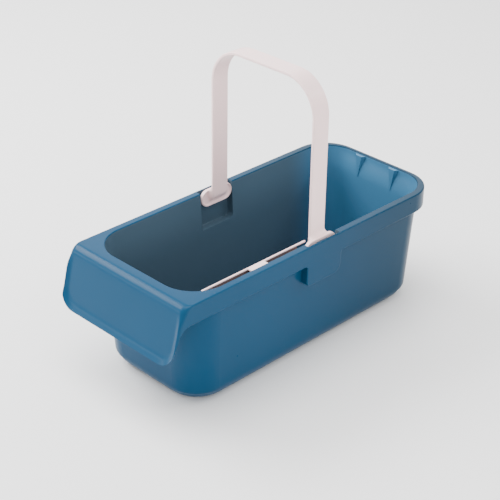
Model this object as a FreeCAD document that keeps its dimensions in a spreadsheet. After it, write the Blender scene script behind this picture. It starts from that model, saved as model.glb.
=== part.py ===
"""Open rectangular wash tub with a folding carry handle, a pouring lip and a clip-in scraper rail.

Millimetres. +X runs to the rear, the lip is at -X, +Z is up, and the tub stands on Z = 0.
The origin is the centre of the overall footprint.
"""
import FreeCAD, Part
import math
import os
import Sketcher

V = FreeCAD.Vector
doc = FreeCAD.newDocument("wash_tub")

# ---------------------------------------------------------------- driving dimensions
SIZES = (
    # overall
    ("length", 490.0),             # foremost point of the lip to the rear of the rim
    ("width", 210.0),              # over the rim
    ("rim_height", 170.0),         # top of the rim above the floor
    ("handle_height", 380.0),      # top of the upright handle
    # basin
    ("wall", 2.5),                 # moulded wall thickness
    ("base_side_inset", 17.5),     # rim edge to the base, at the sides
    ("base_front_inset", 54.0),    # foremost point of the lip to the base
    ("base_rear_inset", 14.0),     # rear of the rim to the base
    ("base_corner", 41.0),         # corner radius of the base
    ("base_round", 20.0),          # rounding between base and walls
    ("opening_front", 43.3),       # foremost point of the lip to the opening
    ("opening_corner", 38.3),      # corner radius of the opening
    # rim
    ("rim_ledge", 10.7),           # flat top of the rim, opening to outer edge
    ("band_height", 26.5),         # turned-down outer edge of the rim
    ("rim_corner", 49.0),          # outer corner radius at the rear
    # lip
    ("lip_shoulder", 22.8),        # foremost point to where the top and front faces would meet
    ("lip_roll", 13.0),            # radius of the crest
    ("lip_crease", 6.7),           # foremost point to the crease above the flared edge
    ("lip_flare_rise", 9.7),       # height of the flared edge
    ("lip_drop", 76.7),            # top of the rim to the flared edge
    ("lip_crease_round", 8.0),     # radius in the crease
    ("lip_corner", 25.0),          # rounded lower corners of the lip
    ("lip_side_sweep", 14.0),      # where the band sweeps down into the lip
    # handle pockets
    ("pivot_setback", 262.5),      # foremost point of the lip to the handle's pivot
    ("pivot_drop", 10.4),          # top of the rim to the pivot
    ("pocket_length", 58.0),       # clear length inside
    ("pocket_depth", 54.5),        # top of the rim to the pocket's inside bottom
    ("pocket_corner", 6.0),        # rounded lower corners outside
    ("boss_width", 19.0),
    ("boss_depth", 4.3),           # how far the boss stands in from the outer wall
    # handle
    ("strap_width", 26.7),
    ("strap_thickness", 4.4),
    ("strap_gap", 3.9),            # edge of the opening to the leg
    ("strap_corner", 50.0),        # outer radius of the upper corners
    ("foot_end_clearance", 1.5),   # foot to the pocket's end walls
    ("foot_height", 24.0),
    ("foot_thickness", 4.2),
    ("foot_gap", 0.3),             # foot to boss, and stud to pocket wall
    ("stud_radius", 5.0),
    ("stud_clearance", 0.08),      # running fit, on the radius
    # scraper rail
    ("rail_front", 68.0),          # foremost point of the lip to the front end of the rail
    ("rail_handle_gap", 2.9),      # rear end of the rail to the upright strap
    ("rail_bead", 5.0),            # width and height of the bead along its top
    ("rail_web", 2.5),             # thickness of the leg and of the floor under it
    ("rail_height", 13.0),
    ("rail_drop", 2.0),            # rail top below the rim top
    ("rail_groove", 6.0),          # gap between bead and rim
    ("rail_gap", 0.3),             # rail to wall
    ("rail_floor_setback", 85.0),  # foremost point of the lip to the front end of the floor
    ("rail_end_tab", 7.0),         # length of the tab at the front end
    ("rail_middle_tab", 28.0),
    ("tab_thickness", 2.5),
    ("tongue_inset", 15.0),        # end of the floor to the middle of the first and the last tongue
    ("tongue_length", 12.0),
    ("tongue_grip", 2.2),          # how far a tongue passes into the wall
    ("tongue_clearance", 0.15),
    # stacking ribs
    ("rib_spacing", 60.0),
    ("rib_width", 18.0),
    ("rib_depth", 3.0),
    ("rib_height", 31.0),
)
sheet = doc.addObject("Spreadsheet::Sheet", "size")
for row, (alias, value) in enumerate(SIZES, start=1):
    sheet.set("A%d" % row, alias)
    sheet.set("B%d" % row, str(value))
    sheet.setAlias("B%d" % row, alias)
doc.recompute()


def value(expression):
    """Evaluate an expression on the sheet's values."""
    result = sheet.evalExpression(expression)
    return float(getattr(result, "Value", result))


def bind(thing, **expressions):
    """Bind properties to expressions; a double underscore stands for a dot."""
    for name, expression in expressions.items():
        thing.setExpression(name.replace("__", "."), expression)


# ---------------------------------------------------------------- places worked out from the sizes
FRONT = "(-size.length / 2)"
REAR = "(size.length / 2)"
HALF = "(size.width / 2)"
PIVOT_X = "(%s + size.pivot_setback)" % FRONT
PIVOT_Z = "(size.rim_height - size.pivot_drop)"
OPENING_HALF = "(%s - size.rim_ledge)" % HALF
BAND_FOOT = "(size.rim_height - size.band_height)"
POCKET_OUT = "(%s - size.wall)" % HALF
BOSS_FACE = "(%s - size.boss_depth)" % POCKET_OUT
FOOT_OUT = "(%s - size.foot_gap)" % BOSS_FACE
FOOT_IN = "(%s - size.foot_thickness)" % FOOT_OUT
FOOT_LENGTH = "(size.pocket_length - 2 * size.foot_end_clearance)"
STRAP_OUT = "(%s - size.strap_gap)" % OPENING_HALF
STRAP_IN = "(%s - size.strap_thickness)" % STRAP_OUT
POCKET_FLOOR = "(size.rim_height - size.pocket_depth)"
ABOVE = 1.0      # how far a cutting tool runs past the face that it opens


def outline(name, level, front, rear, half, corner, square_front=False):
    """Closed outline in the horizontal plane: a rectangle with rounded corners.

    front is the distance of the front side ahead of the origin, rear that of the rear side behind it.
    """
    sketch = doc.addObject("Sketcher::SketchObject", name)
    bind(sketch, Placement__Base__z=level)
    f, b, w, r = (value(text) for text in (front, rear, half, corner))
    q = math.pi / 2

    def line(x0, y0, x1, y1):
        return Part.LineSegment(V(x0, y0, 0), V(x1, y1, 0))

    def arc(x, y, start):
        return Part.ArcOfCircle(Part.Circle(V(x, y, 0), V(0, 0, 1), r), start, start + q)

    inset = 0.0 if square_front else r
    pieces = [line(-f + inset, -w, b - r, -w), arc(b - r, -w + r, -q), line(b, -w + r, b, w - r),
              arc(b - r, w - r, 0.0), line(b - r, w, -f + inset, w)]
    if square_front:
        pieces.append(line(-f, w, -f, -w))
    else:
        pieces += [arc(-f + r, w - r, q), line(-f, w - r, -f, -w + r), arc(-f + r, -w + r, 2 * q)]
    sketch.addGeometry(pieces, False)
    arcs = [i for i, piece in enumerate(pieces) if isinstance(piece, Part.ArcOfCircle)]
    lines = [i for i in range(len(pieces)) if i not in arcs]
    for i in range(len(pieces)):
        after = (i + 1) % len(pieces)
        smooth = i in arcs or after in arcs
        sketch.addConstraint(Sketcher.Constraint("Tangent" if smooth else "Coincident", i, 2, after, 1))
    for order, i in enumerate(lines):
        sketch.addConstraint(Sketcher.Constraint("Vertical" if order % 2 else "Horizontal", i))
    for i in arcs[1:]:
        sketch.addConstraint(Sketcher.Constraint("Equal", arcs[0], i))
    sizes = (("corner", Sketcher.Constraint("Radius", arcs[0], r), corner),
             ("rear", Sketcher.Constraint("DistanceX", -1, 1, lines[1], 1, b), rear),
             ("front", Sketcher.Constraint("DistanceX", lines[3], 1, -1, 1, f), front),
             ("right", Sketcher.Constraint("DistanceY", lines[0], 1, -1, 1, w), half),
             ("left", Sketcher.Constraint("DistanceY", -1, 1, lines[2], 1, w), half))
    for label, constraint, expression in sizes:
        index = sketch.addConstraint(constraint)
        sketch.renameConstraint(index, label)
        sketch.setExpression("Constraints.%s" % label, expression)
    return sketch


def loft(name, *sections):
    solid = doc.addObject("Part::Loft", name)
    solid.Sections = list(sections)
    solid.Solid = True
    solid.Ruled = True
    return solid


def extrusion(name, profile, height):
    solid = doc.addObject("Part::Extrusion", name)
    solid.Base = profile
    solid.DirMode = "Custom"
    solid.Dir = V(0, 0, 1)
    solid.Solid = True
    bind(solid, LengthFwd=height)
    return solid


def round_edges(name, base, radius, chosen):
    """Fillet those edges of base for which chosen(edge) is true."""
    doc.recompute()
    rounded = doc.addObject("Part::Fillet", name)
    rounded.Base = base
    picked = [i for i, edge in enumerate(base.Shape.Edges, start=1) if chosen(edge)]
    rounded.Edges = [(i, value(radius), value(radius)) for i in picked]
    return rounded


def lies_at(height):
    return lambda edge: all(abs(v.Z - height) < 1e-4 for v in edge.Vertexes)


def fuse(name, *shapes):
    joined = doc.addObject("Part::MultiFuse", name)
    joined.Shapes = list(shapes)
    return joined


def cut(name, base, tool):
    rest = doc.addObject("Part::Cut", name)
    rest.Base = base
    rest.Tool = tool
    return rest


def box(name, x0, x1, y0, y1, z0, z1):
    """A box between expressions for its lower and upper bounds."""
    solid = doc.addObject("Part::Box", name)
    bind(solid, Length="%s - (%s)" % (x1, x0), Width="%s - (%s)" % (y1, y0), Height="%s - (%s)" % (z1, z0),
         Placement__Base__x=x0, Placement__Base__y=y0, Placement__Base__z=z0)
    return solid


def cross_cylinder(name, radius, y0, y1):
    """A cylinder on the handle's pivot axis, from y0 to y1."""
    solid = doc.addObject("Part::Cylinder", name)
    solid.Placement = FreeCAD.Placement(V(), FreeCAD.Rotation(V(1, 0, 0), -90))
    bind(solid, Radius=radius, Height="%s - (%s)" % (y1, y0),
         Placement__Base__x=PIVOT_X, Placement__Base__y=y0, Placement__Base__z=PIVOT_Z)
    return solid


def other_side(name, solid):
    """The same thing on the opposite long side."""
    copy = doc.addObject("Part::Mirroring", name)
    copy.Source = solid
    copy.Normal = V(0, 1, 0)
    return copy


def rounded_path(corners):
    """Edges through the corners (x, z, radius) in the upright plane y = 0, each corner rounded."""
    points = [V(x, 0, z) for x, z, radius in corners]
    edges = []
    start = points[0]
    for before, point, after, (x, z, radius) in zip(points, points[1:], points[2:], corners[1:]):
        into = (before - point).normalize()
        out = (after - point).normalize()
        if radius > 0:
            half_turn = into.getAngle(out) / 2
            reach = radius / math.tan(half_turn)
            middle = point + (into + out).normalize() * (radius / math.sin(half_turn) - radius)
            edges.append(Part.makeLine(start, point + into * reach))
            edges.append(Part.Arc(point + into * reach, middle, point + out * reach).toShape())
            start = point + out * reach
        else:
            edges.append(Part.makeLine(start, point))
            start = point
    edges.append(Part.makeLine(start, points[-1]))
    return Part.Wire(edges)


# ---------------------------------------------------------------- tub: basin
# The basin's outside and inside are drafted boxes; the wall lies between them.
def basin_solid(name, inset, base_level, top_level, rounding):
    """Drafted box, set in from the basin's outer face by inset."""
    lower = outline(name + "_base", base_level,
                    "size.length / 2 - size.base_front_inset - %s" % inset,
                    "size.length / 2 - size.base_rear_inset - %s" % inset,
                    "size.width / 2 - size.base_side_inset - %s" % inset,
                    "size.base_corner - %s" % inset)
    upper = outline(name + "_top", top_level,
                    "size.length / 2 - size.opening_front + size.wall - %s" % inset,
                    "size.length / 2 - size.rim_ledge + size.wall - %s" % inset,
                    "size.width / 2 - size.rim_ledge + size.wall - %s" % inset,
                    "size.opening_corner + size.wall - %s" % inset)
    solid = loft(name, lower, upper)
    return round_edges(name + "_rounded", solid, rounding, lies_at(value(base_level)))


basin = basin_solid("basin", "0", "0", "size.rim_height", "size.base_round")
cavity = basin_solid("cavity", "size.wall", "size.wall", "size.rim_height", "size.base_round - size.wall")

# ---------------------------------------------------------------- tub: rim
# A flat ledge all round, turned down into a band at its outer edge.
CREST = "(size.length / 2 - size.lip_shoulder - size.lip_roll)"
rim_block = extrusion(
    "rim_block", outline("rim_outline", BAND_FOOT, CREST, REAR, HALF, "size.rim_corner", True), "size.band_height")
under_rim = extrusion(
    "under_rim",
    outline("under_rim_outline", "%s - %s" % (BAND_FOOT, ABOVE), "%s + %s" % (CREST, ABOVE),
            "%s - size.wall" % REAR, "%s - size.wall" % HALF, "size.rim_corner - size.wall", True),
    "size.band_height - size.wall + %s" % ABOVE)
rim = cut("rim", rim_block, under_rim)

# ---------------------------------------------------------------- tub: pouring lip
# A sheet that rolls over the front of the rim, drops, and flares out again at its edge. The band
# at each side sweeps down into it.
def lip_shape():
    front = value(FRONT)
    half = value(HALF)
    top = value("size.rim_height")
    wall = value("size.wall")
    edge = top - value("size.lip_drop")
    root = front + value("size.opening_front")
    shoulder = front + value("size.lip_shoulder")
    crease = front + value("size.lip_crease")
    crease_height = edge + value("size.lip_flare_rise")
    lean = (shoulder - crease) / (top - crease_height)
    roll = value("size.lip_roll")
    corner = value("size.lip_corner")
    band_foot = value(BAND_FOOT)

    section = rounded_path([(root, top, 0), (shoulder, top, roll),
                            (crease, crease_height, value("size.lip_crease_round")), (front, edge, 0)])
    sheet_face = section.makeOffset2D(wall, 0, True, True)
    if sheet_face.BoundBox.ZMax > top + wall / 2:
        sheet_face = section.makeOffset2D(-wall, 0, True, True)
    sheet_solid = sheet_face.extrude(V(0, 2 * half, 0))
    sheet_solid.translate(V(0, -half, 0))

    tip_height = edge + corner
    tip = shoulder - lean * (top - tip_height)
    inner = wall * math.hypot(1.0, lean)
    band_end = shoulder - lean * (top - band_foot) + inner
    side = rounded_path([(root, band_foot, 0), (root, top, 0), (shoulder, top, roll), (tip, tip_height, 0),
                         (tip + inner, tip_height, 0), (band_end, band_foot, value("size.lip_side_sweep")),
                         (root, band_foot, 0)])
    panel = Part.Face(side).extrude(V(0, wall, 0))
    sides = [panel.translated(V(0, half - wall, 0)), panel.translated(V(0, -half, 0))]

    # seen from the front, the lip has rounded lower corners
    face_height = top - edge
    window = Part.makeBox(root - front, 2 * half, face_height, V(front, -half, edge))
    lower = [e for e in window.Edges if lies_at(edge)(e) and abs(e.Vertexes[0].Y - e.Vertexes[1].Y) < 1e-6]
    window = window.makeFillet(corner, lower)
    return sheet_solid.fuse(sides).common(window).removeSplitter()


lip = doc.addObject("Part::Feature", "lip")
lip.Shape = lip_shape()

# ---------------------------------------------------------------- tub: handle pockets
# Each long side bulges out flush with the band, and holds a pocket that is open to the inside and
# to the rim. A boss on the pocket's outer wall carries the handle's stud.
POCKET_HALF = "(size.pocket_length / 2)"
pocket_block = box("pocket_block",
                   "%s - %s - size.wall" % (PIVOT_X, POCKET_HALF), "%s + %s + size.wall" % (PIVOT_X, POCKET_HALF),
                   "%s - size.wall" % OPENING_HALF, HALF, "%s - size.wall" % POCKET_FLOOR,
                   "size.rim_height - size.wall")
pocket_outside = round_edges(
    "pocket_outside", pocket_block, "size.pocket_corner",
    lambda edge: (lies_at(value("%s - size.wall" % POCKET_FLOOR))(edge)
                  and abs(edge.Vertexes[0].X - edge.Vertexes[1].X) < 1e-6))
pocket_space = box("pocket_space", "%s - %s" % (PIVOT_X, POCKET_HALF), "%s + %s" % (PIVOT_X, POCKET_HALF),
                   "%s - size.base_side_inset" % OPENING_HALF, POCKET_OUT,
                   POCKET_FLOOR, "size.rim_height + %s" % ABOVE)
boss_round = cross_cylinder("boss_round", "size.boss_width / 2", BOSS_FACE, "%s + size.wall / 2" % POCKET_OUT)
boss_pad = box("boss_pad", "%s - size.boss_width / 2" % PIVOT_X, "%s + size.boss_width / 2" % PIVOT_X,
               BOSS_FACE, "%s + size.wall / 2" % POCKET_OUT, PIVOT_Z, "size.rim_height - size.wall")
boss = fuse("boss", boss_round, boss_pad)
socket = cross_cylinder("socket", "size.stud_radius + size.stud_clearance", "%s - %s" % (BOSS_FACE, ABOVE),
                        POCKET_OUT)

# ---------------------------------------------------------------- tub: windows for the rail's tongues
RAIL_FRONT = "(%s + size.rail_front)" % FRONT
RAIL_REAR = "(%s - size.strap_width / 2 - size.rail_handle_gap)" % PIVOT_X
RAIL_TOP = "(size.rim_height - size.rail_drop)"
RAIL_FOOT = "(%s - size.rail_height)" % RAIL_TOP
BEAD_OUT = "(%s - size.rail_groove)" % OPENING_HALF
BEAD_IN = "(%s - size.rail_bead)" % BEAD_OUT
FLOOR_FRONT = "(%s + size.rail_floor_setback)" % FRONT
FLOOR_REAR = "(%s - %s - size.wall)" % (PIVOT_X, POCKET_HALF)
RAIL_MIDDLE = "((%s + %s) / 2)" % (FLOOR_FRONT, FLOOR_REAR)


def wall_inside(height):
    """Half the clear width of the basin at a height, as an expression."""
    rise = "(%s - size.wall) / (size.rim_height - size.wall)" % height
    narrow = "%s - size.base_side_inset - size.wall" % HALF
    return "(%s + (size.base_side_inset + size.wall - size.rim_ledge) * %s)" % (narrow, rise)


FLOOR_OUT = "(%s - size.rail_gap)" % wall_inside(RAIL_FOOT)
TONGUE_END = "(%s + size.tongue_grip)" % wall_inside(RAIL_FOOT)
# one tongue near each end of the floor, and one under the middle tab
TONGUE_MIDDLES = ("%s + size.tongue_inset" % FLOOR_FRONT, RAIL_MIDDLE, "%s - size.tongue_inset" % FLOOR_REAR)
TONGUES = [("(%s - size.tongue_length / 2)" % middle, "(%s + size.tongue_length / 2)" % middle)
           for middle in TONGUE_MIDDLES]
windows = fuse("windows", *[
    box("window_%d" % i, "%s - size.tongue_clearance" % x0, "%s + size.tongue_clearance" % x1,
        "-%s - size.wall" % TONGUE_END, "-%s" % FLOOR_OUT,
        "%s - size.tongue_clearance" % RAIL_FOOT, "%s + size.rail_web + size.tongue_clearance" % RAIL_FOOT)
    for i, (x0, x1) in enumerate(TONGUES, start=1)])


# ---------------------------------------------------------------- tub: stacking ribs
# Two tapered ribs on the rear wall inside, widest under the rim and running out to a point.
def rib_shape(side):
    """A rib from the rim downwards; side is 1 or -1."""
    top = value("size.rim_height - size.wall")
    centre = side * value("size.rib_spacing / 2")
    wide = value("size.rib_width") / 2
    depth = value("size.rib_depth")
    height = value("size.rib_height")
    lean = (value("size.base_rear_inset - size.rim_ledge + size.wall")) / value("size.rim_height")
    face = value("size.length / 2 - size.rim_ledge")
    back = face + value("size.wall") / 2
    head = Part.makePolygon([V(back, centre - wide, top), V(face - depth, centre - wide / 3, top),
                             V(face - depth, centre + wide / 3, top), V(back, centre + wide, top),
                             V(back, centre - wide, top)])
    point = Part.Vertex(V(back - lean * height, centre, top - height))
    return Part.makeLoft([head, point], True)


ribs = doc.addObject("Part::Feature", "ribs")
ribs.Shape = rib_shape(1).fuse(rib_shape(-1))

# ---------------------------------------------------------------- tub: one moulding
outside = fuse("outside", basin, rim, lip, pocket_outside, other_side("pocket_outside_left", pocket_outside))
space = fuse("space", cavity, pocket_space, other_side("pocket_space_left", pocket_space))
hollow = cut("hollow", outside, space)
fitted = fuse("fitted", hollow, boss, other_side("boss_left", boss), ribs)
openings = fuse("openings", socket, other_side("socket_left", socket), windows)
tub = cut("tub", fitted, openings)

# ---------------------------------------------------------------- carry handle
# A flat strap bent to a bail, with a foot and a stud at each end, moulded in one.
handle = doc.addObject("PartDesign::Body", "carry_handle")


def plane(body, role):
    return next(f for f in body.Origin.OriginFeatures if f.Role == role)


def sketch_on(body, name, role, offset):
    """A sketch on one of the body's origin planes, moved along the plane's normal."""
    sketch = body.newObject("Sketcher::SketchObject", name)
    sketch.AttachmentSupport = [(plane(body, role), "")]
    sketch.MapMode = "FlatFace"
    bind(sketch, AttachmentOffset__Base__z=offset)
    return sketch


def dimension(sketch, label, constraint, expression):
    index = sketch.addConstraint(constraint)
    sketch.renameConstraint(index, label)
    sketch.setExpression("Constraints.%s" % label, expression)


def arch(sketch, first, half, top, foot, radius):
    """Add one open arch, legs up from foot, with rounded upper corners; returns its first index."""
    w, t, z, r = (value(text) for text in (half, top, foot, radius))
    q = math.pi / 2
    sketch.addGeometry([
        Part.LineSegment(V(w, z, 0), V(w, t - r, 0)),
        Part.ArcOfCircle(Part.Circle(V(w - r, t - r, 0), V(0, 0, 1), r), 0, q),
        Part.LineSegment(V(w - r, t, 0), V(-w + r, t, 0)),
        Part.ArcOfCircle(Part.Circle(V(-w + r, t - r, 0), V(0, 0, 1), r), q, 2 * q),
        Part.LineSegment(V(-w, t - r, 0), V(-w, z, 0))], False)
    for i in range(first, first + 4):
        sketch.addConstraint(Sketcher.Constraint("Tangent", i, 2, i + 1, 1))
    sketch.addConstraint(Sketcher.Constraint("Vertical", first))
    sketch.addConstraint(Sketcher.Constraint("Horizontal", first + 2))
    sketch.addConstraint(Sketcher.Constraint("Vertical", first + 4))
    sketch.addConstraint(Sketcher.Constraint("Equal", first + 1, first + 3))
    dimension(sketch, "corner%d" % first, Sketcher.Constraint("Radius", first + 1, r), radius)
    dimension(sketch, "top%d" % first, Sketcher.Constraint("DistanceY", -1, 1, first + 2, 1, t), top)
    dimension(sketch, "right%d" % first, Sketcher.Constraint("DistanceX", -1, 1, first, 1, w), half)
    dimension(sketch, "left%d" % first, Sketcher.Constraint("DistanceX", first + 4, 2, -1, 1, w), half)
    return first


bail = sketch_on(handle, "bail_outline", "YZ_Plane", PIVOT_X)
outer = arch(bail, 0, STRAP_OUT, "size.handle_height", PIVOT_Z, "size.strap_corner")
inner = arch(bail, 5, STRAP_IN, "size.handle_height - size.strap_thickness", PIVOT_Z,
             "size.strap_corner - size.strap_thickness")
ends = [bail.addGeometry(Part.LineSegment(V(s * value(STRAP_IN), value(PIVOT_Z), 0),
                                          V(s * value(STRAP_OUT), value(PIVOT_Z), 0)), False) for s in (1, -1)]
for end, a, b, pos in ((ends[0], inner, outer, 1), (ends[1], inner + 4, outer + 4, 2)):
    bail.addConstraint(Sketcher.Constraint("Coincident", end, 1, a, pos))
    bail.addConstraint(Sketcher.Constraint("Coincident", end, 2, b, pos))
    bail.addConstraint(Sketcher.Constraint("Horizontal", end))
for side, leg_line, end in (("right", outer, 1), ("left", outer + 4, 2)):
    dimension(bail, "foot_" + side,
              Sketcher.Constraint("DistanceY", -1, 1, leg_line, end, value(PIVOT_Z)), PIVOT_Z)
strap = handle.newObject("PartDesign::Pad", "strap")
strap.Profile = bail
strap.Midplane = True
bind(strap, Length="size.strap_width")
doc.recompute()


def foot_outline(name, offset):
    """The foot's outline: a slot shape, long way fore and aft, centred on the pivot."""
    sketch = sketch_on(handle, name, "XZ_Plane", offset)
    x, z = value(PIVOT_X), value(PIVOT_Z)
    r = value("size.foot_height / 2")
    h = value(FOOT_LENGTH) / 2 - r
    q = math.pi / 2
    sketch.addGeometry([
        Part.LineSegment(V(x - h, z - r, 0), V(x + h, z - r, 0)),
        Part.ArcOfCircle(Part.Circle(V(x + h, z, 0), V(0, 0, 1), r), -q, q),
        Part.LineSegment(V(x + h, z + r, 0), V(x - h, z + r, 0)),
        Part.ArcOfCircle(Part.Circle(V(x - h, z, 0), V(0, 0, 1), r), q, 3 * q)], False)
    for i in range(4):
        sketch.addConstraint(Sketcher.Constraint("Tangent", i, 2, (i + 1) % 4, 1))
    sketch.addConstraint(Sketcher.Constraint("Horizontal", 0))
    dimension(sketch, "round", Sketcher.Constraint("Radius", 1, r), "size.foot_height / 2")
    dimension(sketch, "height", Sketcher.Constraint("DistanceY", -1, 1, 1, 3, z), PIVOT_Z)
    dimension(sketch, "rear", Sketcher.Constraint("DistanceX", -1, 1, 1, 3, x + h),
              "%s + %s / 2 - size.foot_height / 2" % (PIVOT_X, FOOT_LENGTH))
    dimension(sketch, "front", Sketcher.Constraint("DistanceX", 3, 3, 1, 3, 2 * h),
              "%s - size.foot_height" % FOOT_LENGTH)
    return sketch


def grow(name, kind, profile, length, reverse):
    feature = handle.newObject(kind, name)
    feature.Profile = profile
    feature.Reversed = reverse
    bind(feature, Length=length)
    doc.recompute()
    return feature


# The XZ plane's normal points to -Y, so an offset of -y puts a sketch at +y.
for side, sign, away in (("right", "", False), ("left", "-", True)):
    grow("foot_" + side, "PartDesign::Pad", foot_outline("foot_outline_" + side, "%s%s" % (sign, FOOT_IN)),
         "size.foot_thickness", away)
    # neck: a block the width of the strap from the strap's leg out to the foot, sloping under
    neck = sketch_on(handle, "neck_outline_" + side, "YZ_Plane", PIVOT_X)
    s = -1 if side == "right" else 1
    y_in, y_out = s * value(STRAP_IN), s * value(FOOT_IN)
    z_top = value("%s + size.foot_height / 2" % PIVOT_Z)
    z_low = value(PIVOT_Z)
    corners = [V(y_in, z_low, 0), V(y_out, z_low - value("size.stud_radius"), 0), V(y_out, z_top, 0),
               V(y_in, z_top, 0)]
    neck.addGeometry([Part.LineSegment(a, b) for a, b in zip(corners, corners[1:] + corners[:1])], False)
    for i in range(4):
        neck.addConstraint(Sketcher.Constraint("Coincident", i, 2, (i + 1) % 4, 1))
    neck.addConstraint(Sketcher.Constraint("Vertical", 1))
    neck.addConstraint(Sketcher.Constraint("Horizontal", 2))
    neck.addConstraint(Sketcher.Constraint("Vertical", 3))
    near, far = ((0, 1, -1, 1), (1, 1, -1, 1)) if s < 0 else ((-1, 1, 0, 1), (-1, 1, 1, 1))
    dimension(neck, "strap_side", Sketcher.Constraint("DistanceX", *near, abs(y_in)), STRAP_IN)
    dimension(neck, "foot_side", Sketcher.Constraint("DistanceX", *far, abs(y_out)), FOOT_IN)
    dimension(neck, "top", Sketcher.Constraint("DistanceY", -1, 1, 2, 1, z_top),
              "%s + size.foot_height / 2" % PIVOT_Z)
    dimension(neck, "low", Sketcher.Constraint("DistanceY", -1, 1, 0, 1, z_low), PIVOT_Z)
    dimension(neck, "under", Sketcher.Constraint("DistanceY", -1, 1, 1, 1, corners[1].y),
              "%s - size.stud_radius" % PIVOT_Z)
    block = handle.newObject("PartDesign::Pad", "neck_" + side)
    block.Profile = neck
    block.Midplane = True
    bind(block, Length="size.strap_width")
    doc.recompute()
    # stud: turns in the boss
    stud = sketch_on(handle, "stud_outline_" + side, "XZ_Plane", "%s%s" % (sign, FOOT_OUT))
    centre = V(value(PIVOT_X), value(PIVOT_Z), 0)
    stud.addGeometry(Part.Circle(centre, V(0, 0, 1), value("size.stud_radius")), False)
    dimension(stud, "radius", Sketcher.Constraint("Radius", 0, value("size.stud_radius")), "size.stud_radius")
    dimension(stud, "height", Sketcher.Constraint("DistanceY", -1, 1, 0, 3, centre.y), PIVOT_Z)
    dimension(stud, "setback", Sketcher.Constraint("DistanceX", -1, 1, 0, 3, centre.x), PIVOT_X)
    grow("stud_" + side, "PartDesign::Pad", stud, "size.boss_depth", away)

# ---------------------------------------------------------------- scraper rail
# A beaded edge along the inside of one long side, on a leg and a floor that reach back to the wall.
# Tongues on the floor snap into windows in the wall, and tabs steady the bead.
bead = box("rail_bead", RAIL_FRONT, RAIL_REAR, "-%s" % BEAD_OUT, "-%s" % BEAD_IN,
           "%s - size.rail_bead" % RAIL_TOP, RAIL_TOP)
leg = box("rail_leg", FLOOR_FRONT, FLOOR_REAR, "-%s - size.rail_web" % BEAD_IN, "-%s" % BEAD_IN,
          RAIL_FOOT, "%s - size.rail_bead / 2" % RAIL_TOP)
floor = box("rail_floor", FLOOR_FRONT, FLOOR_REAR, "-%s" % FLOOR_OUT, "-%s" % BEAD_IN,
            RAIL_FOOT, "%s + size.rail_web" % RAIL_FOOT)
TAB_FOOT = "(%s - size.tab_thickness)" % RAIL_TOP
middle_tab = box("middle_tab", "%s - size.rail_middle_tab / 2" % RAIL_MIDDLE,
                 "%s + size.rail_middle_tab / 2" % RAIL_MIDDLE,
                 "-%s + size.rail_gap" % wall_inside(TAB_FOOT), "-%s + size.rail_bead / 2" % BEAD_OUT,
                 TAB_FOOT, RAIL_TOP)
front_tab = box("front_tab", RAIL_FRONT, "%s + size.rail_end_tab" % RAIL_FRONT,
                "-%s - size.rail_groove / 2" % BEAD_OUT, "-%s + size.rail_bead / 2" % BEAD_OUT,
                TAB_FOOT, RAIL_TOP)
tongues = [box("tongue_%d" % i, x0, x1, "-%s" % TONGUE_END, "-%s + size.rail_web" % FLOOR_OUT,
               RAIL_FOOT, "%s + size.rail_web" % RAIL_FOOT) for i, (x0, x1) in enumerate(TONGUES, start=1)]
rail = fuse("scraper_rail", bead, leg, floor, middle_tab, front_tab, *tongues)

# ---------------------------------------------------------------- check and write
doc.recompute()
nodes = {"tub": tub, "carry_handle": handle, "scraper_rail": rail}
for thing in doc.Objects:
    if "Invalid" in thing.State or "Error" in thing.State:
        raise RuntimeError("%s failed: %s" % (thing.Name, thing.State))
os.makedirs("parts", exist_ok=True)
for name, thing in nodes.items():
    thing.Label = name
    shape = thing.Shape
    if shape.isNull() or not shape.isValid():
        raise RuntimeError("%s has no valid shape" % name)
    print(name, len(shape.Solids), "solid(s)", round(shape.Volume / 1000, 1), "cm3", shape.BoundBox)
    shape.exportStep("parts/%s.step" % name)
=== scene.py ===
from math import cos, exp, hypot, pi, radians, sin, sqrt

import bmesh
import bpy
from mathutils import Matrix, Vector


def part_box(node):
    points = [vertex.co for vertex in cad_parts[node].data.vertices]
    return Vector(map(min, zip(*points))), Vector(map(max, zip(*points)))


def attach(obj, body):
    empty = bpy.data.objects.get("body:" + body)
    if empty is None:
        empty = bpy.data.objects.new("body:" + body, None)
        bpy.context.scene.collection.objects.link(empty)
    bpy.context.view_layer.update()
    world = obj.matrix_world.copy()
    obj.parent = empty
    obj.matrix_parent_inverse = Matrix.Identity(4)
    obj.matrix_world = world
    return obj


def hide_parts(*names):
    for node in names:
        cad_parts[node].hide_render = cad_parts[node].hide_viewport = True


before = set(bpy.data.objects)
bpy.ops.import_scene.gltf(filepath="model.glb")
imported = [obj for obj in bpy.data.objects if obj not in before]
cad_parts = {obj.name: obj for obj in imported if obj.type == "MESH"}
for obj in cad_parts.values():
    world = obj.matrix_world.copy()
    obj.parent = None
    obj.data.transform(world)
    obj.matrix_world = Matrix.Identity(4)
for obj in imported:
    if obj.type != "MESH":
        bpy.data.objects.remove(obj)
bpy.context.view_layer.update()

# ---------------------------------------------------------------- tub
# One thin moulding in blue polypropylene: a drafted basin, a flat rim turned down into a band,
# and a front lip that rolls over and flares out for pouring. It is lofted ring by ring, from the
# middle of the floor inside, over the rim, and back under to the base. Sizes are in millimetres.
MM = 0.001
tub_low, tub_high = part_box("tub")
FRONT, REAR = tub_low[0] / MM, tub_high[0] / MM
HALF, RIM = tub_high[1] / MM, tub_high[2] / MM
WALL = 2.5
RIM_EDGE = 1.8                # rounding along the rim's two edges
RIM_CORNER = 49.0             # rear corners of the band, seen from above
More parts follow.
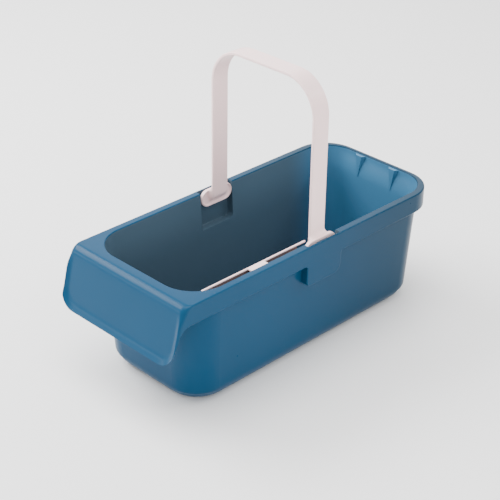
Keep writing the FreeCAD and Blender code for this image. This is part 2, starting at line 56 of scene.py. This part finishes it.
# The basin's inner face: how far inside the overall outline it lies at the floor, how much of
# that it gives back on the way up to the rim, and its corners.
FRONT_AT_FLOOR, FRONT_DRAFT = 56.5, 13.2
REAR_AT_FLOOR, REAR_DRAFT = 16.5, 5.8
SIDE_AT_FLOOR, SIDE_DRAFT = 20.0, 9.3
BASIN_CORNER = 38.4
OPENING_CORNER_EXTRA = 9.0    # the front corners open up towards the rim
REAR_FLARE = 4.3              # how far the rear wall leans out in its last stretch
FLARE_START, FLARE_LENGTH = 34.0, 26.0      # below the rim
BAND_FOOT = RIM - 26.5
BASE_ROUND = 20.0
BASE_STEP = 14.0              # height at which the base's corners step in
SHOULDER = FRONT + 22.8       # where the lip's top and face would meet
CREST_ROUND = 13.0
CREST = SHOULDER + 10.25      # where the flat top starts to roll over
LIP_LEAN = 0.2403             # the face moves forward this much for each unit it drops
LIP_FOOT = RIM - 76.7
LIP_CORNER = 25.0             # lower corners of the lip, seen from the front
LIP_FLARE = 4.3               # how far the lower edge stands out
LIP_BORDER = 3.9              # and the side edges
LIP_BORDER_WIDTH = 9.0
LIP_CORNER_FOOT, LIP_CORNER_EXTRA = 3.4, 6.0  # rounding between face and sides, and its gain at the crest
SWEEP_DROP, SWEEP_LENGTH = 18.0, 4.2        # how the band's foot runs down into the lip
ROLL_END = RIM - 10.0         # height at which the roll meets the lip's face
# Where the loft's columns stand along each straight side, as shares of its length.
SIDE_STOPS = [0, .002, .005, .009, .014, .02, .027, .036, .047, .06, .08, .11, .16, .24, .34, .45, .56, .67,
              .78, .88, .95, 1]
FRONT_STOPS = [0, .006, .012, .018, .025, .032, .04, .052, .066, .084, .105, .125, .15, .2, .28, .38, .5]
FRONT_STOPS += [1 - stop for stop in reversed(FRONT_STOPS[:-1])]
REAR_STOPS = [step / 8 for step in range(9)]
CORNER_STEPS = 12


def outline(front, rear, half, front_round, rear_round):
    """A rounded rectangle seen from above: one point for each column of the loft."""
    ahead, behind = front + front_round, rear - rear_round
    points = [(ahead + (behind - ahead) * stop, -half) for stop in SIDE_STOPS]
    turn = [pi / 2 * step / CORNER_STEPS for step in range(1, CORNER_STEPS)]
    points += [(behind + rear_round * sin(a), -half + rear_round * (1 - cos(a))) for a in turn]
    points += [(rear, (half - rear_round) * (2 * stop - 1)) for stop in REAR_STOPS]
    points += [(behind + rear_round * cos(a), half - rear_round * (1 - sin(a))) for a in turn]
    points += [(ahead + (behind - ahead) * stop, half) for stop in reversed(SIDE_STOPS)]
    points += [(ahead - front_round * sin(a), half - front_round * (1 - cos(a))) for a in turn]
    points += [(front, (half - front_round) * (1 - 2 * stop)) for stop in FRONT_STOPS]
    points += [(ahead - front_round * cos(a), -half + front_round * (1 - sin(a))) for a in turn]
    return points


def wall_inside(height):
    """Half the basin's clear width at a height."""
    return HALF - SIDE_AT_FLOOR + SIDE_DRAFT * (height - WALL) / (RIM - WALL)


def basin_ring(height, inset=0.0, corner_extra=0.0):
    """Ring on the basin's inner face; a negative inset reaches its outer face."""
    up = (height - WALL) / (RIM - WALL)
    flare = REAR_FLARE * min(1.0, max(0.0, (height - RIM + FLARE_START) / FLARE_LENGTH)) ** 1.5
    corner = BASIN_CORNER - inset + corner_extra
    points = outline(FRONT + FRONT_AT_FLOOR - FRONT_DRAFT * up + .8 * up * up + inset,
                     REAR - REAR_AT_FLOOR + REAR_DRAFT * up - inset + flare, wall_inside(height) - inset,
                     corner + OPENING_CORNER_EXTRA * up * up, corner + flare)
    return [(x, y, height) for x, y in points]


def lip_face(height, inset):
    """How far forward the lip reaches at a height; inset 0 is its outer face."""
    if height >= ROLL_END:
        reach = (CREST_ROUND - inset) ** 2 - (height - RIM + CREST_ROUND) ** 2
        return CREST - sqrt(max(reach, 0.0))
    return SHOULDER - LIP_LEAN * (RIM - height) + inset * 1.03


def lip_edge_distance(y, height):
    """Distance from a point on the lip to the lip's edge, seen from the front."""
    side, drop = abs(y) - (HALF - LIP_CORNER), LIP_FOOT + LIP_CORNER - height
    if side > 0 and drop > 0:
        return LIP_CORNER - hypot(side, drop)
    return min(height - LIP_FOOT, HALF - abs(y))


def corner_round(height):
    """Rounding between the lip's face and its sides, fuller at the crest."""
    return LIP_CORNER_FOOT + LIP_CORNER_EXTRA * max(0.0, 1 - (RIM - height) / 28) ** 1.5


def rim_ring(height_of, inset):
    """Ring on the rim, band and lip; inset 0 is the outer face and WALL the inner one."""
    ring = []
    for column, height in enumerate(height_of):
        edge = max(height - (RIM - RIM_EDGE), 0.0)
        turn_in = RIM_EDGE - sqrt(max(RIM_EDGE ** 2 - edge ** 2, 0.0)) if inset == 0 else 0.0
        shrink = inset + turn_in
        corner = max(corner_round(height) - shrink, 1.0)
        points = outline(lip_face(height, inset), REAR - shrink, HALF - shrink, corner, RIM_CORNER - shrink)
        x, y = points[column]
        if x < SHOULDER + 25 and height < ROLL_END:
            # the face scoops forward to a raised border along its sides and lower edge
            low = min(1.0, max(0.0, (RIM - 35 - height) / 30))
            low *= low * (3 - 2 * low)
            near_edge = max(0.0, 1 - lip_edge_distance(y, height) / LIP_BORDER_WIDTH)
            ahead = max(0.0, 1 - (x - points[FRONT_MIDDLE][0]) / corner_round(height))
            flare = LIP_BORDER * min(1.0, (ROLL_END - height) / 12) + (LIP_FLARE - LIP_BORDER) * low
            x -= flare * near_edge ** 1.3 * sqrt(ahead)
        ring.append((x, y, height))
    return ring


def foot_heights():
    """Height of the lower edge in each column: the band's foot, sweeping down into the lip."""
    heights = []
    corner = corner_round(BAND_FOOT)
    for x, y in outline(0.0, REAR - FRONT, HALF, corner, RIM_CORNER):
        side = max(abs(y) - (HALF - LIP_CORNER), 0.0)
        lip = LIP_FOOT + LIP_CORNER - sqrt(max(LIP_CORNER ** 2 - side ** 2, 0.0))
        sweep = BAND_FOOT - SWEEP_DROP * exp(-(x + 1) / SWEEP_LENGTH)
        if x < 1e-6:
            heights.append(lip)
        elif x < corner - 1e-6:
            blend = min(1.0, (abs(y) - HALF + corner) / corner)
            heights.append(lip + (sweep - LIP_FOOT - LIP_CORNER) * blend ** 3)
        else:
            heights.append(sweep)
    return heights


COLUMNS = len(outline(FRONT, REAR, HALF, 5, 5))
FRONT_MIDDLE = 2 * len(SIDE_STOPS) + len(REAR_STOPS) + 3 * (CORNER_STEPS - 1) + len(FRONT_STOPS) // 2
foot = foot_heights()
rings = []
# floor inside and the rounding up to the wall
FLOOR_ROUND = BASE_ROUND - WALL
rings += [basin_ring(WALL, 36.0), basin_ring(WALL, 27.0)]
for step in range(9):
    a = pi / 2 * step / 8
    rings.append(basin_ring(WALL + FLOOR_ROUND * (1 - cos(a)), FLOOR_ROUND * (1 - sin(a))))
rings += [basin_ring(height)
          for height in (34, 52, 72, 92, 112, 128, 136, 141, 146, 151, 156, 161, 165)]
for step in range(6):
    a = pi / 2 * step / 5
    rings.append([(x, y, RIM - RIM_EDGE * (1 - sin(a)))
                  for x, y, height in basin_ring(RIM - RIM_EDGE, -RIM_EDGE * (1 - cos(a)))])
INSIDE_ROWS = len(rings) - 5
# flat rim, roll and band, and the lip's outer face
for drop in (0, .06, .22, .5, .9, 1.3, 1.8, 2.7, 4, 5.6, 7.6, 10):
    rings.append(rim_ring([RIM - drop] * COLUMNS, 0.0))
for part in (.12, .25, .38, .5, .6, .7, .78, .84, .89, .93, .965, 1):
    rings.append(rim_ring([ROLL_END - part * (ROLL_END - low - .8) for low in foot], 0.0))
# lower edge, then the hidden inner face of the band and lip
for inset, lift in ((.35, .25), (1.25, 0), (2.15, .25)):
    rings.append(rim_ring([low + lift for low in foot], inset))
for part in (1, .9, .8, .65, .45, .25, 0):
    rings.append(rim_ring([ROLL_END - part * (ROLL_END - low - .8) for low in foot], WALL))
for height in (RIM - 7, RIM - 5, RIM - 3.4, RIM - WALL):
    rings.append(rim_ring([height] * COLUMNS, WALL))
# outer face of the basin, the stepped base corners and the base
rings += [basin_ring(height, -WALL)
          for height in (RIM - WALL, 161, 155, 148, 142, 136, 120, 100, 80, 60, 45, 32, 24, BASE_ROUND)]
for step in range(1, 13):
    a = pi / 2 * step / 12
    height = BASE_ROUND * (1 - sin(a))
    extra = 6.0 * min(1.0, max(0.0, (BASE_STEP + 1.5 - height) / 3.0))
    ring = basin_ring(max(height, WALL), BASE_ROUND * (1 - cos(a)) - WALL, extra)
    rings.append([(x, y, height) for x, y, level in ring])
rings.append([(x, y, 0.0) for x, y, height in basin_ring(WALL, 30.0, 6.0)])

bm = bmesh.new()
last_row = len(rings) - 1
bmesh.ops.create_grid(bm, x_segments=COLUMNS, y_segments=last_row, size=1.0)
# rows inside the basin take the inside blue with its painted light and shade, the rest the outside blue with
# its painted rear shade
for face in bm.faces:
    row = (face.calc_center_median().y + 1) / 2 * last_row
    face.material_index = 0 if row < INSIDE_ROWS else 1
    face.smooth = True
for vert in bm.verts:
    row, column = round((vert.co.y + 1) / 2 * last_row), round((vert.co.x + 1) / 2 * COLUMNS)
    vert.co = rings[row][column % COLUMNS]
bmesh.ops.remove_doubles(bm, verts=bm.verts, dist=1e-4)
# the two holes left in the middle of the floor and of the base
for loop_height, index in ((WALL, 0), (0.0, 1)):
    loop = [edge for edge in bm.edges
            if edge.is_boundary and abs(edge.verts[0].co.z - loop_height) < .01]
    for face in bmesh.ops.holes_fill(bm, edges=loop)["faces"]:
        face.material_index = index


def srgb(red, green, blue):
    """Linear colour from a 0-255 screen colour."""
    channels = [value / 255 for value in (red, green, blue)]
    return [c / 12.92 if c <= .04045 else ((c + .055) / 1.055) ** 2.4 for c in channels] + [1.0]


def moulded_plastic(name, first, second, axis, start, end, roughness, gloss):
    """Moulded plastic: slight mottling, a fine skin, and a tone that drifts along one axis; the blues and
    the rail's dark pink use this drift for painted light and shade.
    """
    material = bpy.data.materials.new(name)
    material.use_nodes = True
    nodes, links = material.node_tree.nodes, material.node_tree.links
    shader = nodes["Principled BSDF"]
    shader.inputs["IOR"].default_value = 1.49
    shader.inputs["Specular IOR Level"].default_value = gloss
    place = nodes.new("ShaderNodeTexCoord")

    depth = nodes.new("ShaderNodeSeparateXYZ")
    links.new(place.outputs["Object"], depth.inputs[0])
    # the drift between the two colours, which carries painted light and shade in the blues and the rail's
    # dark pink
    fade = nodes.new("ShaderNodeMapRange")
    fade.interpolation_type = "SMOOTHSTEP"
    fade.inputs["From Min"].default_value = start * MM
    fade.inputs["From Max"].default_value = end * MM
    links.new(depth.outputs[axis], fade.inputs["Value"])
    base = nodes.new("ShaderNodeMix")
    base.data_type = "RGBA"
    base.inputs["A"].default_value = first
    base.inputs["B"].default_value = second
    links.new(fade.outputs["Result"], base.inputs["Factor"])

    mottle = nodes.new("ShaderNodeTexNoise")
    mottle.inputs["Scale"].default_value = 9.0
    mottle.inputs["Detail"].default_value = 4.0
    links.new(place.outputs["Object"], mottle.inputs["Vector"])
    tone = nodes.new("ShaderNodeMapRange")
    tone.inputs["To Min"].default_value = 0.95
    tone.inputs["To Max"].default_value = 1.05
    links.new(mottle.outputs["Fac"], tone.inputs["Value"])
    tinted = nodes.new("ShaderNodeHueSaturation")
    links.new(base.outputs["Result"], tinted.inputs["Color"])
    links.new(tone.outputs["Result"], tinted.inputs["Value"])
    links.new(tinted.outputs["Color"], shader.inputs["Base Color"])

    wear = nodes.new("ShaderNodeTexNoise")
    wear.inputs["Scale"].default_value = 60.0
    wear.inputs["Detail"].default_value = 5.0
    links.new(place.outputs["Object"], wear.inputs["Vector"])
    sheen = nodes.new("ShaderNodeMapRange")
    sheen.inputs["To Min"].default_value = roughness - 0.03
    sheen.inputs["To Max"].default_value = roughness + 0.03
    links.new(wear.outputs["Fac"], sheen.inputs["Value"])
    links.new(sheen.outputs["Result"], shader.inputs["Roughness"])

    skin = nodes.new("ShaderNodeTexNoise")
    skin.inputs["Scale"].default_value = 900.0
    skin.inputs["Detail"].default_value = 2.0
    links.new(place.outputs["Object"], skin.inputs["Vector"])
    relief = nodes.new("ShaderNodeBump")
    relief.inputs["Strength"].default_value = 0.02
    relief.inputs["Distance"].default_value = 0.0004
    links.new(skin.outputs["Fac"], relief.inputs["Height"])
    links.new(relief.outputs["Normal"], shader.inputs["Normal"])
    return material


# Inside, the blue is a copy painted with light and shade: greyer and darker towards the lip for painted
# shade, lighter towards the rear for painted light. Outside, it is a little deeper towards the rear: painted
# shade.
BLUE = (moulded_plastic("blue_plastic_inside_painted_light_and_shade", srgb(67, 88, 103), srgb(60, 110, 144), "X", 150, 236,
                        roughness=0.4, gloss=0.2),
        # the outside copy darkens towards the rear: painted shade
        moulded_plastic("blue_plastic_outside_painted_rear_shade", srgb(12, 62, 92), srgb(2, 46, 68), "X", -100, 245,
                        roughness=0.29, gloss=0.11))


def finished(name, bm, materials):
    """Turn millimetres into metres and make a linked object with its materials."""
    bmesh.ops.scale(bm, vec=(MM, MM, MM), verts=bm.verts)
    bmesh.ops.recalc_face_normals(bm, faces=bm.faces)
    mesh = bpy.data.meshes.new(name)
    bm.to_mesh(mesh)
    bm.free()
    for material in materials:
        mesh.materials.append(material)
    piece = bpy.data.objects.new(name, mesh)
    bpy.context.scene.collection.objects.link(piece)
    return piece


def combine(piece, *changes):
    """Join solids to the piece, or cut them from it, in order."""
    for operation, tool in changes:
        modifier = piece.modifiers.new(operation, "BOOLEAN")
        modifier.operation, modifier.object, modifier.solver = operation, tool, "EXACT"
    graph = bpy.context.evaluated_depsgraph_get()
    mesh = bpy.data.meshes.new_from_object(piece.evaluated_get(graph))
    mesh.name = piece.name
    piece.modifiers.clear()
    piece.data = mesh
    for operation, tool in changes:
        bpy.data.objects.remove(tool)


def soften(piece, angle):
    """Smooth shading, with the flat faces kept flat."""
    for polygon in piece.data.polygons:
        polygon.use_smooth = True
    piece.data.set_sharp_from_angle(angle=radians(angle))
    weighted = piece.modifiers.new("flat_faces", "WEIGHTED_NORMAL")
    weighted.keep_sharp = True


# Each side bulges out flush with the band around the pocket that takes the handle's foot.
PIVOT = Vector((17.5, 0.0, RIM - 10.4))
POCKET = 29.0                 # half the pocket's clear length
BOSS_DEPTH = 4.3
SOCKET_RADIUS, SOCKET_DEPTH = 5.1, 5.5
POCKET_FLOOR = RIM - 54.5
BULGE_FOOT = POCKET_FLOOR - WALL


def prism(corners, near, far, index):
    """Mesh of one rounded outline (x, z, rounding) pulled across the tub from near to far."""
    bm = bmesh.new()
    points = [bm.verts.new((x, near, z)) for x, z, rounding in corners]
    bm.faces.new(points)
    for point, (x, z, rounding) in zip(points, corners):
        if rounding:
            bmesh.ops.bevel(bm, geom=[point], offset=rounding, offset_type="OFFSET", affect="VERTICES",
                            segments=8, profile=0.5, material=-1)
    grown = bmesh.ops.extrude_face_region(bm, geom=bm.faces[:])
    moved = [item for item in grown["geom"] if isinstance(item, bmesh.types.BMVert)]
    bmesh.ops.translate(bm, vec=(0, far - near, 0), verts=moved)
    for face in bm.faces:
        face.material_index = index
    return bm


def round_off(bm, chosen, size, segments=3):
    """Bevel the edges for which chosen(middle, edge) is true."""
    edges = [e for e in bm.edges if chosen((e.verts[0].co + e.verts[1].co) / 2, e)]
    bmesh.ops.bevel(bm, geom=edges, offset=size, offset_type="OFFSET", affect="EDGES", segments=segments,
                    profile=0.5, material=-1)


def bulge(side):
    """The pocket's outer shell, flush with the band and blended into its foot."""
    left, right = PIVOT.x - POCKET - WALL, PIVOT.x + POCKET + WALL
    foot_line, top, inner, outer = BAND_FOOT - .1, RIM - WALL, side * 90, side * (HALF - .02)
    bm = prism([(left - 3, foot_line + 2, 0), (left - 3, foot_line, 0), (left, foot_line, 2.9),
                (left, BULGE_FOOT, 6), (right, BULGE_FOOT, 13), (right, foot_line, 4),
                (right + 5, foot_line, 0), (right + 5, foot_line + 2, 0), (right, foot_line + 2, 0),
                (right, top, 0), (left, top, 0), (left, foot_line + 2, 0)], inner, outer, 1)
    round_off(bm, lambda middle, edge: all(abs(vert.co.y - outer) < .01 for vert in edge.verts)
              and middle.z < foot_line + .05 and middle.z < BAND_FOOT - 1.5, 1.6)
    for vert in bm.verts:
        if abs(vert.co.y - inner) < .01:
            vert.co.y = side * (wall_inside(vert.co.z) + 1.2)
    return bm


def pocket(side):
    """The space that the handle's foot swings in, open upwards and to the inside."""
    left, right, outer = PIVOT.x - POCKET, PIVOT.x + POCKET, side * (HALF - WALL)
    bm = prism([(left, RIM + 3, 0), (left, POCKET_FLOOR, 3), (right, POCKET_FLOOR, 8), (right, RIM + 3, 0)],
               side * 78, outer, 0)
    round_off(bm, lambda middle, edge: all(abs(vert.co.y - outer) < .01 for vert in edge.verts)
              and middle.z < RIM, 1.5)
    return bm


def boss(side):
    """Boss with a round foot, standing on the pocket's outer wall."""
    wide, rounding = 9.5, 9.4
    return prism([(PIVOT.x - wide, RIM - WALL, 0), (PIVOT.x - wide, PIVOT.z - wide, rounding),
                  (PIVOT.x + wide, PIVOT.z - wide, rounding), (PIVOT.x + wide, RIM - WALL, 0)],
                 side * (HALF - WALL - BOSS_DEPTH), side * (HALF - WALL / 2), 0)


def cylinder(radius, near, far):
    """Round bar on the handle's pivot."""
    bm = bmesh.new()
    middle = Matrix.Translation((PIVOT.x, (near + far) / 2, PIVOT.z))
    bmesh.ops.create_cone(bm, cap_ends=True, segments=40, radius1=radius, radius2=radius,
                          depth=abs(far - near), matrix=middle @ Matrix.Rotation(pi / 2, 4, "X"))
    return bm


def bar(x0, x1, y0, y1, z0, z1, rounding=0.0):
    """Straight bar with its edges rounded off."""
    bm = bmesh.new()
    middle = Matrix.Translation(((x0 + x1) / 2, (y0 + y1) / 2, (z0 + z1) / 2))
    bmesh.ops.create_cube(bm, size=1.0, matrix=middle @ Matrix.Diagonal((x1 - x0, y1 - y0, z1 - z0, 1)))
    if rounding:
        round_off(bm, lambda middle, edge: True, rounding)
    return bm


def rib(side):
    """One of two tapered ribs inside the flared rear wall, which keep stacked tubs from jamming."""
    top, foot_height = RIM - WALL + .9, RIM - FLARE_START
    bm = bar(REAR - 14, REAR - 5, side * 30 - 9, side * 30 + 9, foot_height, top)
    for vert in bm.verts:
        up = (vert.co.z - foot_height) / (top - foot_height)
        ahead = vert.co.x < REAR - 10
        vert.co.y = side * 30 + (vert.co.y - side * 30) * (.06 + .94 * up) * (.55 if ahead else 1)
        vert.co.x = REAR - 12.4 + .8 * up if ahead else REAR - 10.2 + 3.4 * up
    return bm


# pockets, ribs, bosses, sockets and windows bring the inside blue, with its painted light and shade, to
# their faces
tub = finished("tub_body", bm, BLUE)
changes = []
for side, label in ((-1, "near"), (1, "far")):
    changes.append(("UNION", finished("bulge_" + label, bulge(side), BLUE)))
for side, label in ((-1, "near"), (1, "far")):
    changes.append(("UNION", finished("rib_" + label, rib(side), BLUE)))
    changes.append(("DIFFERENCE", finished("pocket_" + label, pocket(side), BLUE)))
for side, label in ((-1, "near"), (1, "far")):
    changes.append(("UNION", finished("boss_" + label, boss(side), BLUE)))
    hole = cylinder(SOCKET_RADIUS, side * (HALF - WALL - SOCKET_DEPTH), side * (HALF - WALL))
    changes.append(("DIFFERENCE", finished("socket_" + label, hole, BLUE)))
TONGUES = [FRONT + 100, FRONT + 158, FRONT + 216]   # middles of the rail's tongues, and of their windows
for count, middle in enumerate(TONGUES):
    window = bar(middle - 6.2, middle + 6.2, -98.5, -92.5, 154.8, 157.7)
    changes.append(("DIFFERENCE", finished("window_%d" % count, window, BLUE)))
combine(tub, *changes)
soften(tub, 32)
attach(tub, "tub")
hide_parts("tub")

# ---------------------------------------------------------------- carry handle
# A flat strap in pale pink polypropylene, bent to a bail. Each leg steps outwards over the rim
# into an oval foot with a beaded edge, and a stud on the foot turns in the pocket's boss.
handle_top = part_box("carry_handle")[1][2] / MM
STRAP_WIDTH, STRAP_THICK, STRAP_CORNER = 26.7, 4.4, 50.0
STRAP_IN, STRAP_OUT = 86.0, 90.4
FOOT_LONG, FOOT_TALL, FOOT_IN, FOOT_OUT = 55.0, 24.0, HALF - WALL - 8.8, HALF - WALL - 4.6
FOOT_BEAD, FOOT_BEAD_WIDTH = 0.9, 2.3         # how far the bead stands up, and how wide it is
STUD_RADIUS, STUD_LENGTH = 5.0, 4.2

# The second pink is a darker, browner copy, darker still towards the bottom: painted shade for the rail's
# groove.
PINK = (moulded_plastic("pink_plastic", srgb(252, 220, 219), srgb(252, 222, 221), "Z", 100, 380,
                        roughness=0.36, gloss=0.4),
        moulded_plastic("pink_plastic_painted_groove_shade", srgb(112, 92, 90), srgb(128, 106, 104), "Z", 155, 168,
                        roughness=0.5, gloss=0.2))

bm = bmesh.new()
bmesh.ops.create_grid(bm, x_segments=1, y_segments=1, size=0.5)
bmesh.ops.scale(bm, vec=(STRAP_WIDTH, STRAP_THICK, 1), verts=bm.verts)
bmesh.ops.bevel(bm, geom=bm.verts[:], offset=1.5, offset_type="OFFSET", affect="VERTICES", segments=5,
                profile=0.5, material=-1)
bmesh.ops.rotate(bm, cent=(0, 0, 0), matrix=Matrix.Rotation(pi / 2, 3, "X"), verts=bm.verts)
bmesh.ops.translate(bm, vec=(PIVOT.x, 0, handle_top - STRAP_THICK / 2), verts=bm.verts)


def pull(bm, face, vec):
    """Extrude one end face along vec and return the new end face."""
    grown = bmesh.ops.extrude_face_region(bm, geom=[face])["geom"]
    moved = [item for item in grown if isinstance(item, bmesh.types.BMVert)]
    bmesh.ops.translate(bm, vec=vec, verts=moved)
    bmesh.ops.delete(bm, geom=[face], context="FACES_ONLY")
    return next(item for item in grown if isinstance(item, bmesh.types.BMFace))


# half the crossbar, the bend and the leg's straight part; the other half is its mirror
end = bm.faces[:][0]
for step in range(4):
    end = pull(bm, end, (0, (STRAP_OUT - STRAP_CORNER) / 4, 0))
spun = bmesh.ops.spin(bm, geom=[end], cent=(0, STRAP_OUT - STRAP_CORNER, handle_top - STRAP_CORNER),
                      axis=(1, 0, 0), angle=-pi / 2, steps=18, use_duplicate=False)
bmesh.ops.delete(bm, geom=[end], context="FACES_ONLY")
end = next(item for item in spun["geom_last"] if isinstance(item, bmesh.types.BMFace))
leg_top, leg_foot = handle_top - STRAP_CORNER, 179.0
for step in range(6):
    end = pull(bm, end, (0, 0, (leg_foot - leg_top) / 6))
# the step out over the rim: height, inner face, outer face, extra width at the outer face
NECK = [(176.5, 86.0, 90.7, .01), (174.4, 86.0, 91.6, .04), (172.8, 86.0, 93.2, .1), (171.7, 86.0, 95.4, .2),
        (171.0, 86.0, 96.8, .3), (166.0, 86.0, 96.8, .3), (163.0, 86.3, 96.8, .28), (160.5, 87.4, 96.8, .24),
        (158.0, 89.2, 96.8, .18), (156.0, 91.2, 96.8, .1), (154.6, 93.4, 96.8, 0), (154.0, 95.0, 96.8, 0)]
level = leg_foot
section = None
for height, inner, outer, flare in NECK:
    section = section or [(v.co.x, v.co.y) for v in end.verts]
    end = pull(bm, end, (0, 0, height - level))
    level = height
    for vert, (x, y) in zip(end.verts, section):
        across = (y - STRAP_IN) / STRAP_THICK
        vert.co.y = inner + across * (outer - inner)
        vert.co.x = PIVOT.x + (x - PIVOT.x) * (1 + flare * across)
bmesh.ops.mirror(bm, geom=bm.verts[:] + bm.edges[:] + bm.faces[:], axis="Y", merge_dist=0.01)
bmesh.ops.remove_doubles(bm, verts=bm.verts, dist=0.005)
middle_faces = [face for face in bm.faces if all(abs(vert.co.y) < 0.01 for vert in face.verts)]
bmesh.ops.delete(bm, geom=middle_faces, context="FACES_ONLY")
handle = finished("handle_bail", bm, PINK[:1])


def foot_plate(side):
    """Oval foot with a bead round its inner face."""
    bm = bmesh.new()
    bmesh.ops.create_circle(bm, cap_ends=True, segments=64, radius=FOOT_TALL / 2,
                            matrix=Matrix.Rotation(pi / 64, 4, "Z"))
    stretch = (FOOT_LONG - FOOT_TALL) / 2
    for vert in bm.verts:
        vert.co.x += stretch if vert.co.x > 0 else -stretch
    face = bm.faces[:][0]
    grown = bmesh.ops.extrude_face_region(bm, geom=[face])["geom"]
    bmesh.ops.translate(bm, vec=(0, 0, FOOT_OUT - FOOT_IN + FOOT_BEAD),
                        verts=[item for item in grown if isinstance(item, bmesh.types.BMVert)])
    top = next(item for item in grown if isinstance(item, bmesh.types.BMFace))
    bmesh.ops.inset_individual(bm, faces=[top], thickness=FOOT_BEAD_WIDTH, depth=0.0)
    dish = bmesh.ops.extrude_face_region(bm, geom=[top])["geom"]
    bmesh.ops.delete(bm, geom=[top], context="FACES_ONLY")
    bmesh.ops.translate(bm, vec=(0, 0, -FOOT_BEAD - .4),
                        verts=[item for item in dish if isinstance(item, bmesh.types.BMVert)])
    flat = [e for e in bm.edges if abs(e.verts[0].co.z - e.verts[1].co.z) < 1e-5]
    bmesh.ops.bevel(bm, geom=flat, offset=0.7, offset_type="OFFSET", affect="EDGES", segments=3,
                    profile=0.5, material=-1)
    # the dish faces the inside of the tub
    turn = Matrix.Rotation(side * pi / 2, 3, "X")
    bmesh.ops.rotate(bm, cent=(0, 0, 0), matrix=turn, verts=bm.verts)
    bmesh.ops.translate(bm, vec=(PIVOT.x, side * FOOT_OUT, PIVOT.z), verts=bm.verts)
    return bm


changes = []
for side, label in ((-1, "near"), (1, "far")):
    stud = cylinder(STUD_RADIUS, side * (FOOT_OUT - 1), side * (FOOT_OUT + STUD_LENGTH))
    round_off(stud, lambda middle, edge: abs(middle.y) > FOOT_OUT + STUD_LENGTH - .2, .5)
    changes += [("UNION", finished("foot_" + label, foot_plate(side), PINK[:1])),
                ("UNION", finished("stud_" + label, stud, PINK[:1]))]
combine(handle, *changes)
soften(handle, 38)
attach(handle, "handle")
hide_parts("carry_handle")

# ---------------------------------------------------------------- scraper rail
# A beaded edge in the same pink plastic, along the inside of one long side, for wringing and
# scraping. A leg and a floor carry it, and tongues on the floor snap into windows in the wall.
rail_low, rail_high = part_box("scraper_rail")
rail_front, rail_rear = rail_low[0] / MM, rail_high[0] / MM
rail_top, rail_foot, rail_in = rail_high[2] / MM, rail_low[2] / MM, rail_high[1] / MM
floor_front, floor_rear = FRONT + 85, PIVOT.x - POCKET - WALL
shell_foot, shell_top = -wall_inside(rail_foot), -wall_inside(rail_top)     # the tub's wall beside the rail
BEAD_WIDE, BEAD_TALL = 2.8, 2.6
bridge_foot, bridge_top, bridge_in = rail_top - 2.4, rail_top - .1, rail_in - 1.5
rail = finished("rail_bead", bar(rail_front, rail_rear, rail_in - BEAD_WIDE, rail_in, rail_top - BEAD_TALL,
                                 rail_top, 1.1), PINK)
leg = bar(floor_front, floor_rear, rail_in - 2, rail_in - .4, rail_foot, rail_top - 1.4, .4)
ledge = bar(floor_front + .1, floor_rear - .1, shell_foot + .3, rail_in - .4,
            rail_foot + .05, rail_foot + 2.5, .4)
# the leg and the floor take the second pink, painted shade in the groove under the bead
for part in (leg, ledge):
    for face in part.faces:
        face.material_index = 1
middle_bridge = bar(TONGUES[1] - 14, TONGUES[1] + 14, shell_top + .6, bridge_in, bridge_foot, bridge_top, .5)
front_bridge = bar(rail_front + .1, rail_front + 3, rail_in - 8, bridge_in, bridge_foot, bridge_top, .5)
rail_parts = [leg, ledge, middle_bridge, front_bridge]
for middle in TONGUES:
    rail_parts.append(bar(middle - 6, middle + 6, shell_foot - 2.1, shell_foot + 3,
                          rail_foot + .1, rail_foot + 2.4, .4))
combine(rail, *[("UNION", finished("rail_part_%d" % count, part, PINK))
                for count, part in enumerate(rail_parts)])
soften(rail, 38)
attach(rail, "tub")
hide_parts("scraper_rail")

# ---------------------------------------------------------------- stage
# A plain pale floor, soft light from beyond the lip and above, and a pale fill all round.
bm = bmesh.new()
bmesh.ops.create_grid(bm, x_segments=1, y_segments=1, size=6.0)
floor_mesh = bpy.data.meshes.new("floor")
bm.to_mesh(floor_mesh)
bm.free()
floor = bpy.data.objects.new("floor", floor_mesh)
bpy.context.scene.collection.objects.link(floor)
floor_material = bpy.data.materials.new("pale_floor")
floor_material.use_nodes = True
floor_shader = floor_material.node_tree.nodes["Principled BSDF"]
floor_shader.inputs["Base Color"].default_value = (0.92, 0.92, 0.92, 1)
floor_shader.inputs["Roughness"].default_value = 0.9
floor_mesh.materials.append(floor_material)

world = bpy.data.worlds.new("studio")
world.use_nodes = True
world.node_tree.nodes["Background"].inputs["Color"].default_value = (1.0, 1.0, 1.0, 1)
world.node_tree.nodes["Background"].inputs["Strength"].default_value = 1.3
bpy.context.scene.world = world


def softbox(name, position, target, size, power):
    """Large soft light aimed at a point."""
    data = bpy.data.lights.new(name, "AREA")
    data.shape, data.size, data.size_y, data.energy = "RECTANGLE", size[0], size[1], power
    light = bpy.data.objects.new(name, data)
    position = Vector(position)
    light.location = position
    light.rotation_euler = (Vector(target) - position).to_track_quat("-Z", "Y").to_euler()
    bpy.context.scene.collection.objects.link(light)


softbox("key", (-0.6, 1.45, 1.55), (0, 0, 0.12), (1.7, 0.8), 66)
softbox("low", (-1.65, 1.4, 0.6), (0, 0, 0.12), (1.2, 0.3), 10)
softbox("top", (-0.2, 0.1, 2.4), (0, 0, 0), (1.6, 1.6), 50)
softbox("back", (1.5, 1.5, 1.1), (0, 0, 0.12), (1.4, 0.7), 8)
softbox("edge", (1.2, -1.0, 1.25), (0, 0, 0.12), (0.35, 0.35), 6)
softbox("fill", (0.1, -2.4, 0.7), (0, 0, 0.1), (1.4, 0.6), 14)

lens = bpy.data.cameras.new("camera")
lens.lens = 99.65
lens.clip_end = 20
camera = bpy.data.objects.new("camera", lens)
camera.matrix_world = (Matrix.Translation((-1.1254, -1.1071, 1.0131))
                       @ Matrix.Rotation(radians(-45.174), 4, "Z")
                       @ Matrix.Rotation(pi / 2 - radians(29.526), 4, "X")
                       @ Matrix.Rotation(radians(0.827), 4, "Z"))
bpy.context.scene.collection.objects.link(camera)
bpy.context.scene.camera = camera
